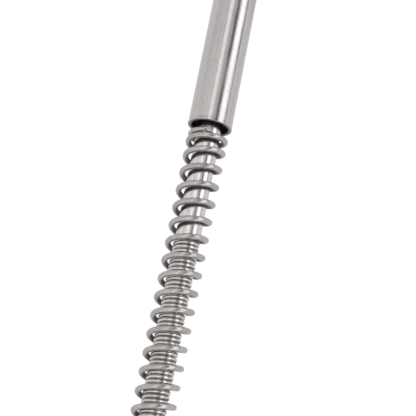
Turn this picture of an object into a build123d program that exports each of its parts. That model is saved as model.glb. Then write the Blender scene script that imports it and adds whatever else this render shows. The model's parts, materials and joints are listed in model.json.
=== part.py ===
from build123d import *
import math
import os

# Drain auger: a guide tube with a hand grip, a crank-driven shaft that slides and turns in it, and a
# flexible auger of a close-wound core inside an open-wound spring, ending in a bulb head.
# Everything is turned about one axis that lies along +X, tip towards +X, with the tool at rest on z = 0.
# A station s is the distance in mm from the tube's mouth along that axis: the tube has negative
# stations and the auger has positive ones.

os.makedirs("parts", exist_ok=True)

# ---- driving dimensions, mm ----
rest_r = 17.0  # hand grip, crank grip and bulb head share this radius, so the axis lies level

tube_r = 11.45
tube_wall = 2.0
tube_len = 280.0
lip_flare = 0.2  # the mouth is belled out by this much
lip_len = 2.0
lip_round = 3.0  # where the bell starts
rim_round = 0.5

shaft_r = 6.4
shaft_out = 62.0  # smooth shaft beyond the mouth when fully drawn back
travel = 120.0  # how far the shaft slides
running_gap = 0.08  # radial, shaft in its bushes
end_gap = 0.4  # between pieces that pass or meet end on
stop_gap = 0.5  # left at each end of the travel

core_wire_r = 1.17
core_r = 6.7
core_turn_gap = 0.03
core_in_ferrule = 5.0  # how far the core reaches into the ferrule
core_seat_gap = 0.05  # radial, core on the shaft's spigot and in the ferrule
core_spigot_len = 14.0
cable_r = 2.5
cable_seat = 2.0  # depth of the cable's hole behind the spigot's shoulder

spring_wire_r = 1.5
spring_gap = 1.15  # radial, between core and spring
spring_pitch = 9.48
spring_turns = 19
closed_gap = 0.3  # between the end turns, which are nearly closed
rise_share = 0.7  # pitch of the turn between closed and open, as a share of the way
spring_start = 4.35  # station of the wire's first centre point
cut_turns = 0.04  # trimmed off the shaft end of the wire
tack_turns = 0.3  # stretch at each end that is drawn in to its seat
weld_r = 2.1  # bead that holds a wire's end to its seat
weld_lift = 0.9  # bead's centre above the seat

bulb_wire_r = 1.6
bulb_pitch = 8.5
bulb_taper_turns = 2
bulb_seat_turns = 2.1
bulb_seat_gap = 0.15  # between the turns on the coupling
bulb_nose_share = 0.4  # of the bulb's full radius, left open at the nose

bush_len = 20.0
bush_inset = 4.0  # mouth bush behind the mouth
top_spigot = 35.0
top_flange_wall = 2.0
top_flange = 5.0

collar_wall = 4.5
collar_len = 22.0
collar_inset = 2.0
boss_r = 8.0
boss_rise = 8.5  # above the collar
screw_r = 4.0
screw_gap = 0.05
screw_lead = 1.25
thread_depth = 0.5
pad_r = 3.2
pad_len = 3.0
pad_lift = 1.35  # pad to shaft when slack
knob_r = 11.0
knob_len = 13.0
knob_lobes = 7
scallop_r = 4.2
scallop_depth = 2.0
set_screw_r = 2.5
set_screw_sunk = 0.5
hex_key_r = 1.4
hex_key_depth = 2.0

grip_len = 104.0
grip_rib_pitch = 8.0
grip_groove = 2.6
ring_len = 5.0
ring_wall = 3.6

stop_len = 8.0
stop_gap_r = 0.3  # radial, stop ring in the tube
bumper_len = 6.0
bumper_wall = 1.6  # stands out past the tube
washer_len = 2.0
hub_len = 16.0
hub_wall = 6.0

arm_offset = 85.0
arm_width = 24.0
arm_thick = 6.0
stud_r = 4.0
crank_grip_len = 98.0
crank_grip_end_r = 13.0
axle_r = 5.0
axle_head_r = 8.0
axle_head = 5.0
cap_len = 4.0
stud_past_nut = 1.5
chuck_r = 3.5  # round end that a drill's chuck takes
chuck_len = 16.0

nut_flat_r = 6.5  # half the width across flats of an M8 nut
nut_len = 6.5
plain_washer_r = 8.4
plain_washer = 1.6

ferrule_wall = 0.75
ferrule_len = 22.0
coupling_step = 1.3  # coupling is this much slimmer than the ferrule
coupling_len = 9.0
head_bore_wall = 1.5  # round the cable
pin_r = 1.5
pin_past_middle = 1.5
cable_in_ferrule = 3.0
edge = 0.6  # common chamfer
fine_edge = 0.3

# ---- stations worked out from them ----
tube_bore = tube_r - tube_wall
axis_z = rest_r
axis_y = arm_offset / 2
collar_r = tube_r + collar_wall
boss_top = collar_r + boss_rise
ring_r = tube_r + ring_wall
top_flange_r = tube_r + top_flange_wall
bumper_r = tube_r + bumper_wall
hub_r = shaft_r + hub_wall

core_pitch = 2 * core_wire_r + core_turn_gap
core_seat_r = core_r + core_seat_gap
ferrule_r = core_seat_r + ferrule_wall
coupling_r = ferrule_r - coupling_step
head_bore = cable_r + head_bore_wall
spring_mid_r = core_r + spring_gap + spring_wire_r
closed_pitch = 2 * spring_wire_r + closed_gap
rise_pitch = closed_pitch + rise_share * (spring_pitch - closed_pitch)
spring_end = spring_start + 2 * closed_pitch + 2 * rise_pitch + spring_pitch * spring_turns
ferrule_start = spring_end - closed_pitch - spring_wire_r
ferrule_end = ferrule_start + ferrule_len
core_start = shaft_out + core_wire_r
core_end = ferrule_start + core_in_ferrule - core_wire_r
core_turns = (core_end - core_start) / core_pitch
ferrule_face = core_end + core_wire_r
cable_start = shaft_out + cable_seat
cable_end = ferrule_face + cable_in_ferrule
pin_station = (ferrule_face + ferrule_end) / 2 + pin_past_middle
bulb_start = ferrule_end + bulb_wire_r
bulb_mid_r = rest_r - bulb_wire_r
bulb_seat_pitch = 2 * bulb_wire_r + bulb_seat_gap
bulb_nose_r = bulb_nose_share * bulb_mid_r
bulb_end = bulb_start + bulb_seat_pitch * bulb_seat_turns + bulb_pitch * (2 * bulb_taper_turns + 1)

tube_top = -tube_len
flange_top = tube_top - top_flange
spigot_end = tube_top + top_spigot
collar_start = tube_top + collar_inset
collar_end = collar_start + collar_len
collar_mid = (collar_start + collar_end) / 2
grip_start = collar_end + end_gap + ring_len
grip_end = grip_start + grip_len

bumper_start = flange_top - stop_gap - travel - bumper_len
thrust_start = bumper_start - washer_len
hub_start = thrust_start - end_gap - hub_len
arm_start = hub_start - arm_thick
crank_grip_start = arm_start - plain_washer - end_gap - crank_grip_len

tip = bulb_end + bulb_wire_r
mouth_x = -(crank_grip_start + tip) / 2

tool_axis = Axis((mouth_x, axis_y, axis_z), (1, 0, 0))
crank_axis = Axis((mouth_x, axis_y - arm_offset, axis_z), (1, 0, 0))
half_section = Plane(origin=(mouth_x, axis_y, axis_z), x_dir=(1, 0, 0), z_dir=(0, -1, 0))
crank_section = Plane(origin=(mouth_x, axis_y - arm_offset, axis_z), x_dir=(1, 0, 0), z_dir=(0, -1, 0))


def across(station, turn=0.0):
    """Plane square to the tool's axis, its x direction pointing up and turned on by a share of a turn."""
    angle = 2 * math.pi * (turn + 0.25)
    return Plane(
        origin=(mouth_x + station, axis_y, axis_z),
        x_dir=(0, math.cos(angle), math.sin(angle)),
        z_dir=(1, 0, 0),
    )


def upward(station, height=0.0):
    """Plane facing up, at a height over the tool's axis."""
    return Plane(origin=(mouth_x + station, axis_y, axis_z + height), x_dir=(1, 0, 0), z_dir=(0, 0, 1))


def turned(corners, section=half_section, axis=tool_axis):
    """Add a lathe-turned solid to the open part, from its half outline as (station, radius) corners."""
    with BuildSketch(section) as outline:
        with BuildLine():
            Polyline(*corners, close=True)
        make_face()
    revolve(outline.sketch, axis=axis)


def ring(start, length, inner, outer, bevel=edge):
    """Corners of a plain ring with bevelled outer edges."""
    end = start + length
    return [
        (start, inner),
        (start, outer - bevel),
        (start + bevel, outer),
        (end - bevel, outer),
        (end, outer - bevel),
        (end, inner),
    ]


def coil(start, first_turn, wire_r, runs):
    """Add one length of coiled wire. Each run is (turns, pitch, radius at its start, radius at its end)."""
    station, turn = start, first_turn
    for turns, pitch, radius, end_radius in runs:
        height = turns * pitch
        lean = math.atan2(end_radius - radius, height)
        slant_pitch = pitch / math.cos(lean)  # a tapered helix takes its pitch along the cone
        winding = Helix(slant_pitch, height, radius, cone_angle=math.degrees(lean), mode=Mode.PRIVATE)
        with BuildLine() as path:
            add(across(station, turn) * winding)
        with BuildSketch(Plane(origin=path.line @ 0, z_dir=path.line % 0)) as section:
            Circle(wire_r)
        sweep(section.sketch, path=path.line, is_frenet=True)
        station, turn = station + height, turn + turns


# ======== guide: the pieces that stay still in the hand ========

with BuildPart() as guide_tube:
    with BuildSketch(half_section) as wall:
        with BuildLine():
            Polyline(
                (tube_top, tube_bore),
                (tube_top, tube_r),
                (-lip_len, tube_r),
                (0, tube_r + lip_flare),
                (0, tube_bore + lip_flare),
                (-lip_len, tube_bore),
                close=True,
            )
        make_face()
        fillet(wall.vertices().group_by(Axis.X)[-2], lip_round)
        fillet(wall.vertices().group_by(Axis.X)[-1], rim_round)
    revolve(axis=tool_axis)
    with BuildSketch(upward(collar_mid)):
        Circle(screw_r + end_gap)
    extrude(amount=tube_r + edge, mode=Mode.SUBTRACT)
guide_tube.part.label = "guide_tube"
export_step(guide_tube.part, "parts/guide_tube.step")

bush_bore = shaft_r + running_gap
with BuildPart() as mouth_bush:
    bush_end = -bush_inset
    turned([
        (bush_end - bush_len, bush_bore),
        (bush_end - bush_len, tube_bore),
        (bush_end, tube_bore),
        (bush_end, bush_bore + edge),
        (bush_end - edge, bush_bore),
    ])
mouth_bush.part.label = "mouth_bush"
export_step(mouth_bush.part, "parts/mouth_bush.step")

with BuildPart() as top_bush:
    turned([
        (flange_top, bush_bore + edge),
        (flange_top, top_flange_r - edge),
        (flange_top + edge, top_flange_r),
        (tube_top, top_flange_r),
        (tube_top, tube_bore),
        (spigot_end, tube_bore),
        (spigot_end, bush_bore),
        (flange_top + edge, bush_bore),
    ])
    with BuildSketch(upward(collar_mid)):
        Circle(screw_r + end_gap)
    extrude(amount=tube_r, mode=Mode.SUBTRACT)
top_bush.part.label = "top_bush"
export_step(top_bush.part, "parts/top_bush.step")

with BuildPart() as lock_collar:
    turned(ring(collar_start, collar_len, tube_r, collar_r, 2 * edge))
    with BuildSketch(upward(collar_mid, tube_r + edge)):
        Circle(boss_r)
    extrude(amount=boss_top - tube_r - edge)
    chamfer(lock_collar.edges().group_by(Axis.Z)[-1], edge)
    with BuildSketch(upward(collar_mid)):
        Circle(screw_r + screw_gap)
    extrude(amount=boss_top + edge, mode=Mode.SUBTRACT)
    with BuildSketch(Plane(origin=(mouth_x + collar_mid, axis_y, axis_z), x_dir=(1, 0, 0), z_dir=(0, 1, 0))):
        Circle(set_screw_r)
    extrude(amount=collar_r + edge, both=True, mode=Mode.SUBTRACT)
lock_collar.part.label = "lock_collar"
export_step(lock_collar.part, "parts/lock_collar.step")

with BuildPart() as collar_set_screws:
    for side in (-1, 1):
        sunk_face = Plane(
            origin=(mouth_x + collar_mid, axis_y + side * (collar_r - set_screw_sunk), axis_z),
            x_dir=(1, 0, 0),
            z_dir=(0, side, 0),
        )
        with BuildSketch(sunk_face):
            Circle(set_screw_r)
        extrude(amount=tube_r + fine_edge + set_screw_sunk - collar_r)
        with BuildSketch(sunk_face):
            RegularPolygon(radius=hex_key_r, side_count=6)
        extrude(amount=-hex_key_depth, mode=Mode.SUBTRACT)
collar_set_screws.part.label = "collar_set_screws"
export_step(collar_set_screws.part, "parts/collar_set_screws.step")

with BuildPart() as hand_grip:
    grooves = int((grip_len - 2 * grip_rib_pitch) / grip_rib_pitch) + 1
    first_groove = (grip_start + grip_end) / 2 - (grooves - 1) * grip_rib_pitch / 2
    with BuildSketch(half_section):
        with BuildLine():
            Polyline(*ring(grip_start, grip_len, tube_r, rest_r, 2.0), close=True)
        make_face()
        for i in range(grooves):
            with Locations((first_groove + i * grip_rib_pitch, rest_r)):
                Circle(grip_groove / 2, mode=Mode.SUBTRACT)
    revolve(axis=tool_axis)
hand_grip.part.label = "hand_grip"
export_step(hand_grip.part, "parts/hand_grip.step")

with BuildPart() as grip_end_rings:
    turned(ring(grip_start - ring_len, ring_len, tube_r, ring_r, 1.0))
    turned(ring(grip_end, ring_len, tube_r, ring_r, 1.0))
grip_end_rings.part.label = "grip_end_rings"
export_step(grip_end_rings.part, "parts/grip_end_rings.step")

# ======== shaft lock: a pad that moves in and out, and the thumb screw that drives it ========

pad_top = shaft_r + pad_lift + pad_len
stem_start = pad_top + screw_gap
knob_start = boss_top + 2 * screw_lead
stem_end = knob_start + knob_len + 2 * edge

with BuildPart() as lock_pad:
    with BuildSketch(upward(collar_mid, shaft_r + pad_lift)):
        Circle(pad_r)
    extrude(amount=pad_len)
    chamfer(lock_pad.edges().filter_by(GeomType.CIRCLE), fine_edge)
lock_pad.part.label = "lock_pad"
export_step(lock_pad.part, "parts/lock_pad.step")

with BuildPart() as thumb_screw_stem:
    with BuildSketch(upward(collar_mid, stem_start)):
        Circle(screw_r)
    extrude(amount=stem_end - stem_start)
    chamfer(thumb_screw_stem.edges().group_by(Axis.Z)[0], edge)
    chamfer(thumb_screw_stem.edges().group_by(Axis.Z)[-1], edge)
    thread = Plane(origin=(mouth_x + collar_mid, axis_y, axis_z), x_dir=(1, 0, 0), z_dir=(0, -1, 0))
    with BuildSketch(thread):
        for i in range(1, int((knob_start - stem_start) / screw_lead)):
            with Locations((screw_r, stem_start + i * screw_lead)):
                RegularPolygon(radius=thread_depth, side_count=3, rotation=180)
    revolve(axis=Axis((mouth_x + collar_mid, axis_y, axis_z), (0, 0, 1)), mode=Mode.SUBTRACT)
thumb_screw_stem.part.label = "thumb_screw_stem"
export_step(thumb_screw_stem.part, "parts/thumb_screw_stem.step")

with BuildPart() as thumb_knob:
    with BuildSketch(upward(collar_mid, knob_start)):
        Circle(knob_r)
        with PolarLocations(knob_r + scallop_r - scallop_depth, knob_lobes):
            Circle(scallop_r, mode=Mode.SUBTRACT)
    extrude(amount=knob_len)
    fillet(thumb_knob.edges().group_by(Axis.Z)[-1], 1.6)
    fillet(thumb_knob.edges().group_by(Axis.Z)[0], 0.8)
    with BuildSketch(upward(collar_mid, knob_start)):
        Circle(screw_r)
    extrude(amount=knob_len + edge, both=True, mode=Mode.SUBTRACT)
thumb_knob.part.label = "thumb_knob"
export_step(thumb_knob.part, "parts/thumb_knob.step")

# ======== thrust set: slides with the shaft, does not turn with it ========

with BuildPart() as bumper_ring:
    turned(ring(bumper_start, bumper_len, bush_bore, bumper_r, 1.6))
bumper_ring.part.label = "bumper_ring"
export_step(bumper_ring.part, "parts/bumper_ring.step")

with BuildPart() as thrust_washer:
    turned(ring(thrust_start, washer_len, bush_bore, bumper_r, fine_edge))
thrust_washer.part.label = "thrust_washer"
export_step(thrust_washer.part, "parts/thrust_washer.step")

# ======== drive: everything that turns with the crank ========

core_spigot_r = core_r - 2 * core_wire_r - core_seat_gap
core_spigot_end = shaft_out + core_spigot_len
stud_end = arm_start - plain_washer - nut_len - stud_past_nut
chuck_end = stud_end - chuck_len
with BuildPart() as drive_shaft:
    turned([
        (chuck_end, 0),
        (chuck_end, chuck_r - edge),
        (chuck_end + edge, chuck_r),
        (stud_end, chuck_r),
        (stud_end, stud_r - edge),
        (stud_end + edge, stud_r),
        (hub_start, stud_r),
        (hub_start, shaft_r),
        (shaft_out, shaft_r),
        (shaft_out, core_spigot_r),
        (core_spigot_end, core_spigot_r),
        (core_spigot_end, cable_r),
        (cable_start, cable_r),
        (cable_start, 0),
    ])
drive_shaft.part.label = "drive_shaft"
export_step(drive_shaft.part, "parts/drive_shaft.step")

with BuildPart() as stop_ring:
    turned(ring(spigot_end + stop_gap, stop_len, shaft_r, tube_bore - stop_gap_r))
stop_ring.part.label = "stop_ring"
export_step(stop_ring.part, "parts/stop_ring.step")

with BuildPart() as core_spring:
    coil(core_start, 0.5, core_wire_r, [
        (core_turns, core_pitch, core_r - core_wire_r, core_r - core_wire_r),
    ])
core_spring.part.label = "core_spring"
export_step(core_spring.part, "parts/core_spring.step")

with BuildPart() as tip_ferrule:
    turned([
        (ferrule_start, core_seat_r),
        (ferrule_start, ferrule_r - fine_edge),
        (ferrule_start + fine_edge, ferrule_r),
        (ferrule_end - edge, ferrule_r),
        (ferrule_end, ferrule_r - edge),
        (ferrule_end, head_bore),
        (cable_end, head_bore),
        (cable_end, cable_r),
        (ferrule_face, cable_r),
        (ferrule_face, core_seat_r),
    ])
    with BuildSketch(upward(pin_station)):
        Circle(pin_r)
    extrude(amount=ferrule_r + edge, both=True, mode=Mode.SUBTRACT)
tip_ferrule.part.label = "tip_ferrule"
export_step(tip_ferrule.part, "parts/tip_ferrule.step")

with BuildPart() as core_cable:
    with BuildSketch(across(cable_start)):
        Circle(cable_r)
    extrude(amount=cable_end - cable_start)
core_cable.part.label = "core_cable"
export_step(core_cable.part, "parts/core_cable.step")

shaft_seat_r = shaft_r + spring_wire_r
ferrule_seat_r = ferrule_r + spring_wire_r
with BuildPart() as auger_spring:
    coil(spring_start, cut_turns - 2, spring_wire_r, [
        (tack_turns, closed_pitch, shaft_seat_r, spring_mid_r),
        (1 - tack_turns - cut_turns, closed_pitch, spring_mid_r, spring_mid_r),
        (1, rise_pitch, spring_mid_r, spring_mid_r),
        (spring_turns, spring_pitch, spring_mid_r, spring_mid_r),
        (1, rise_pitch, spring_mid_r, spring_mid_r),
        (1 - tack_turns, closed_pitch, spring_mid_r, spring_mid_r),
        (tack_turns, closed_pitch, spring_mid_r, ferrule_seat_r),
    ])
auger_spring.part.label = "auger_spring"
export_step(auger_spring.part, "parts/auger_spring.step")

coupling_end = ferrule_end + coupling_len
with BuildPart() as head_coupling:
    turned([
        (cable_end + edge, 0),
        (cable_end + edge, head_bore),
        (ferrule_end, head_bore),
        (ferrule_end, coupling_r),
        (coupling_end - edge, coupling_r),
        (coupling_end, coupling_r - edge),
        (coupling_end, 0),
    ])
    with BuildSketch(upward(pin_station)):
        Circle(pin_r)
    extrude(amount=ferrule_r, both=True, mode=Mode.SUBTRACT)
head_coupling.part.label = "head_coupling"
export_step(head_coupling.part, "parts/head_coupling.step")

with BuildPart() as head_pin:
    with BuildSketch(upward(pin_station)):
        Circle(pin_r)
    extrude(amount=ferrule_r - fine_edge, both=True)
head_pin.part.label = "head_pin"
export_step(head_pin.part, "parts/head_pin.step")

bulb_seat_r = coupling_r + bulb_wire_r
with BuildPart() as bulb_head:
    coil(bulb_start, 0, bulb_wire_r, [
        (bulb_seat_turns, bulb_seat_pitch, bulb_seat_r, bulb_seat_r),
        (bulb_taper_turns, bulb_pitch, bulb_seat_r, bulb_mid_r),
        (1, bulb_pitch, bulb_mid_r, bulb_mid_r),
        (bulb_taper_turns, bulb_pitch, bulb_mid_r, bulb_nose_r),
    ])
bulb_head.part.label = "bulb_head"
export_step(bulb_head.part, "parts/bulb_head.step")

with BuildPart() as spring_welds:
    beads = (
        (spring_start, cut_turns, shaft_r),
        (spring_end, 0, ferrule_r),
        (bulb_start, 0, coupling_r),
    )
    for station, turn, seat_r in beads:
        with Locations(across(station, turn)):
            with Locations((seat_r + weld_lift, 0)):
                Sphere(weld_r)
spring_welds.part.label = "spring_welds"
export_step(spring_welds.part, "parts/spring_welds.step")

# ======== crank, on the drive ========

with BuildPart() as crank_hub:
    turned(ring(hub_start, hub_len, shaft_r, hub_r, 1.0))
    with BuildSketch(upward(hub_start + hub_len / 2)):
        Circle(set_screw_r)
    extrude(amount=hub_r + edge, mode=Mode.SUBTRACT)
crank_hub.part.label = "crank_hub"
export_step(crank_hub.part, "parts/crank_hub.step")

with BuildPart() as hub_set_screw:
    sunk_face = upward(hub_start + hub_len / 2, hub_r - set_screw_sunk)
    with BuildSketch(sunk_face):
        Circle(set_screw_r)
    extrude(amount=shaft_r + fine_edge + set_screw_sunk - hub_r)
    with BuildSketch(sunk_face):
        RegularPolygon(radius=hex_key_r, side_count=6)
    extrude(amount=-hex_key_depth, mode=Mode.SUBTRACT)
hub_set_screw.part.label = "hub_set_screw"
export_step(hub_set_screw.part, "parts/hub_set_screw.step")

arm_plane = Plane(
    origin=(mouth_x + arm_start, axis_y - arm_offset / 2, axis_z),
    x_dir=(0, 1, 0),
    z_dir=(1, 0, 0),
)
with BuildPart() as crank_arm:
    with BuildSketch(arm_plane):
        SlotCenterToCenter(arm_offset, arm_width)
        with Locations((-arm_offset / 2, 0), (arm_offset / 2, 0)):
            Circle(stud_r, mode=Mode.SUBTRACT)
    extrude(amount=arm_thick)
    chamfer(crank_arm.faces().filter_by(Axis.X).edges(), edge)
crank_arm.part.label = "crank_arm"
export_step(crank_arm.part, "parts/crank_arm.step")

with BuildPart() as arm_washer:
    turned(ring(arm_start - plain_washer, plain_washer, stud_r, plain_washer_r, fine_edge))
arm_washer.part.label = "arm_washer"
export_step(arm_washer.part, "parts/arm_washer.step")


def hex_nut(plane, length, bore):
    """Add a hexagon nut that sits on a plane."""
    with BuildSketch(plane) as outline:
        RegularPolygon(radius=nut_flat_r, side_count=6, major_radius=False)
        Circle(bore, mode=Mode.SUBTRACT)
    extrude(outline.sketch, amount=length)


with BuildPart() as arm_nut:
    hex_nut(Plane(origin=(mouth_x + arm_start - plain_washer, axis_y, axis_z), x_dir=(0, 1, 0),
                  z_dir=(-1, 0, 0)), nut_len, stud_r)
arm_nut.part.label = "arm_nut"
export_step(arm_nut.part, "parts/arm_nut.step")

# the crank grip turns on a shoulder bolt that is nutted through the arm's far end
axle_end = crank_grip_start + cap_len + end_gap
head_face = axle_end + axle_head
axle_tip = arm_start + arm_thick + nut_len + stud_past_nut
with BuildPart() as grip_axle:
    turned([
        (axle_end, 0),
        (axle_end, axle_head_r - edge),
        (axle_end + edge, axle_head_r),
        (head_face, axle_head_r),
        (head_face, axle_r),
        (arm_start, axle_r),
        (arm_start, stud_r),
        (axle_tip, stud_r),
        (axle_tip, 0),
    ], crank_section, crank_axis)
grip_axle.part.label = "grip_axle"
export_step(grip_axle.part, "parts/grip_axle.step")

with BuildPart() as axle_washer:
    turned(ring(arm_start - plain_washer, plain_washer, axle_r, plain_washer_r, fine_edge),
           crank_section, crank_axis)
axle_washer.part.label = "axle_washer"
export_step(axle_washer.part, "parts/axle_washer.step")

with BuildPart() as axle_nut:
    hex_nut(Plane(origin=(mouth_x + arm_start + arm_thick, axis_y - arm_offset, axis_z), x_dir=(0, 1, 0),
                  z_dir=(1, 0, 0)), nut_len, stud_r)
axle_nut.part.label = "axle_nut"
export_step(axle_nut.part, "parts/axle_nut.step")

grip_near = crank_grip_start + crank_grip_len
grip_mid = crank_grip_start + crank_grip_len / 2
grip_bore = axle_r + running_gap
counterbore_r = axle_head_r + end_gap
with BuildPart() as crank_grip:
    with BuildSketch(crank_section):
        with BuildLine():
            ThreePointArc(
                (crank_grip_start, crank_grip_end_r),
                (grip_mid, rest_r),
                (grip_near, crank_grip_end_r),
            )
            Polyline(
                (grip_near, crank_grip_end_r),
                (grip_near, grip_bore),
                (head_face + end_gap, grip_bore),
                (head_face + end_gap, counterbore_r),
                (crank_grip_start, counterbore_r),
                (crank_grip_start, crank_grip_end_r),
            )
        make_face()
    revolve(axis=crank_axis)
    fillet(crank_grip.edges().filter_by(GeomType.CIRCLE).sort_by(SortBy.RADIUS)[-2:], 2.5)
crank_grip.part.label = "crank_grip"
export_step(crank_grip.part, "parts/crank_grip.step")

with BuildPart() as grip_cap:
    turned(ring(crank_grip_start, cap_len, 0, counterbore_r, fine_edge), crank_section, crank_axis)
grip_cap.part.label = "grip_cap"
export_step(grip_cap.part, "parts/grip_cap.step")

print("mouth at x", round(mouth_x, 3), "tip station", round(tip, 2), "length", round(tip - crank_grip_start, 1))
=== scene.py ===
# %% [markdown]
# # A hand-cranked drain auger, dressed for the camera
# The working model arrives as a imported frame: every tube, washer and screw is already in place and
# tied to the body it moves with. This lesson gives each piece the surface that its maker gave it.
# The scene is in metres, the tool lies on z = 0, and its long axis runs along +X towards the bulb head.
# Small sizes are written in millimetres, as a shop would, and multiplied by MM where they meet the scene.

# %% Load the frame
import json
import math
import bpy
import bmesh
import numpy as np
from mathutils import Matrix, Vector, noise


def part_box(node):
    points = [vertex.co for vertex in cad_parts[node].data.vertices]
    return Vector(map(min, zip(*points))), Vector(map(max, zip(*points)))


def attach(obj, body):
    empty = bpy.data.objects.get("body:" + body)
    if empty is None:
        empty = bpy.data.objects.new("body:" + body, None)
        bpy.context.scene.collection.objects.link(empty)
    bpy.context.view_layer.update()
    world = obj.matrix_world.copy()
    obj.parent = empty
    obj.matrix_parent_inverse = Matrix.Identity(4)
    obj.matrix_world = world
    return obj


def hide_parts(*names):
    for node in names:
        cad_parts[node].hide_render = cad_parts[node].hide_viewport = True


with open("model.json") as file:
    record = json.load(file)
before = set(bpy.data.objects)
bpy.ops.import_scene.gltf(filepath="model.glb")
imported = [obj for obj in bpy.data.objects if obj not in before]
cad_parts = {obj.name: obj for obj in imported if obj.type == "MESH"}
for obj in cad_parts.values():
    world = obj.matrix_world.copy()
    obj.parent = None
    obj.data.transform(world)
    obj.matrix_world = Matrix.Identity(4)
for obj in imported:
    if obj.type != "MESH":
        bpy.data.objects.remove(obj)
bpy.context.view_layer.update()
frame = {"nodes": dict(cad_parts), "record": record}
nodes = frame["nodes"]
for plain in list(bpy.data.materials):
    bpy.data.materials.remove(plain)

# %% [markdown]
# The guide tube is the natural place to measure from. Its open mouth is where the auger comes out, and
# its middle line is the axis that the shaft, core and springs all share. A station is a distance from
# the mouth along that line, and a turn is an angle round it, counted from straight up.

# %% Find the mouth and the axis
MM = 0.001
tube_low, tube_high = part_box("guide_tube")
mouth = Vector((tube_high.x, (tube_low.y + tube_high.y) / 2, (tube_low.z + tube_high.z) / 2))
TURN = 2 * math.pi


def on_axis(station_mm, radius_mm=0.0, turn=0.0):
    """A point near the tool's axis, from a station and a radius in mm and an angle in turns."""
    angle = TURN * (turn + 0.25)
    return mouth + MM * Vector((station_mm, radius_mm * math.cos(angle), radius_mm * math.sin(angle)))


def add_object(name, data):
    """Puts an object with this mesh or camera into the scene."""
    made = bpy.data.objects.new(name, data)
    bpy.context.scene.collection.objects.link(made)
    return made


print("mouth at", [round(v, 4) for v in mouth])

# %% [markdown]
# ## Shared surface effects
# Real metal is never one value. Drawing a tube or a wire through a die leaves lines along it, hands and
# rags leave cloudy smears, and corners rub bright. Each effect is a node group, so that every finish can
# use it with its own strength. A group hands back only masks; the shader stays in the material.

# %% A small kit for building node groups
def new_group(name, inputs, outputs):
    """Makes a shader node group from (name, default) inputs; a vector default makes a vector socket."""
    tree = bpy.data.node_groups.new(name, "ShaderNodeTree")
    for label, default in inputs:
        kind = "NodeSocketVector" if isinstance(default, tuple) else "NodeSocketFloat"
        socket = tree.interface.new_socket(label, in_out="INPUT", socket_type=kind)
        socket.default_value = default
    for label, kind in outputs:
        tree.interface.new_socket(label, in_out="OUTPUT", socket_type=kind)
    return tree, tree.nodes.new("NodeGroupInput"), tree.nodes.new("NodeGroupOutput")


def node(tree, kind, links=(), **settings):
    """Adds a node, sets its properties and plain sockets, and links the (socket, source) pairs."""
    made = tree.nodes.new(kind)
    for key, value in settings.items():
        if hasattr(made, key) and key not in made.inputs:
            setattr(made, key, value)
        else:
            made.inputs[key].default_value = value
    for socket, source in links:
        tree.links.new(source, made.inputs[socket])
    return made


def math_node(tree, operation, first, second=None, third=None, clamp=False):
    """A Math node whose inputs are sockets or plain numbers."""
    made = tree.nodes.new("ShaderNodeMath")
    made.operation = operation
    made.use_clamp = clamp
    for slot, value in enumerate((first, second, third)):
        if value is None:
            continue
        if isinstance(value, (int, float)):
            made.inputs[slot].default_value = value
        else:
            tree.links.new(value, made.inputs[slot])
    return made.outputs[0]


print("node helpers ready")

# %% [markdown]
# Drawn lines are a noise pulled out along the piece and squeezed across it. The same group serves a tube,
# where the lines run along the object's X, and a coiled wire, where they run along its unrolled length,
# because the caller hands in the coordinates. Two sizes of line are mixed, since dies leave both.

# %% Group: drawn lines
def build_drawn_lines():
    tree, start, end = new_group(
        "drawn_lines",
        [("Vector", (0.0, 0.0, 0.0)), ("Along", 12.0), ("Across", 1400.0), ("Coarse Share", 0.4)],
        [("Lines", "NodeSocketFloat")],
    )
    parts = node(tree, "ShaderNodeSeparateXYZ", [("Vector", start.outputs["Vector"])])
    along = math_node(tree, "MULTIPLY", parts.outputs["X"], start.outputs["Along"])
    fields = []
    for share in (1.0, 0.22):
        across = math_node(tree, "MULTIPLY", start.outputs["Across"], share)
        stretched = node(tree, "ShaderNodeCombineXYZ", [
            ("X", math_node(tree, "MULTIPLY", along, share)),
            ("Y", math_node(tree, "MULTIPLY", parts.outputs["Y"], across)),
            ("Z", math_node(tree, "MULTIPLY", parts.outputs["Z"], across)),
        ])
        fields.append(node(tree, "ShaderNodeTexNoise", [("Vector", stretched.outputs[0])],
                           Scale=1.0, Detail=3.0, Roughness=0.6).outputs["Fac"])
    coarse = math_node(tree, "MULTIPLY", fields[1], start.outputs["Coarse Share"])
    fine_share = math_node(tree, "SUBTRACT", 1.0, start.outputs["Coarse Share"])
    fine = math_node(tree, "MULTIPLY", fields[0], fine_share)
    tree.links.new(math_node(tree, "ADD", coarse, fine), end.inputs["Lines"])
    return tree


drawn_lines = build_drawn_lines()
print("group:", drawn_lines.name, [s.name for s in drawn_lines.interface.items_tree])

# %% [markdown]
# Handling leaves smears: broad cloudy patches with a few darker flecks where oil has caught dust. One
# group makes both, so that roughness can follow the smear while the flecks darken the colour.

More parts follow.
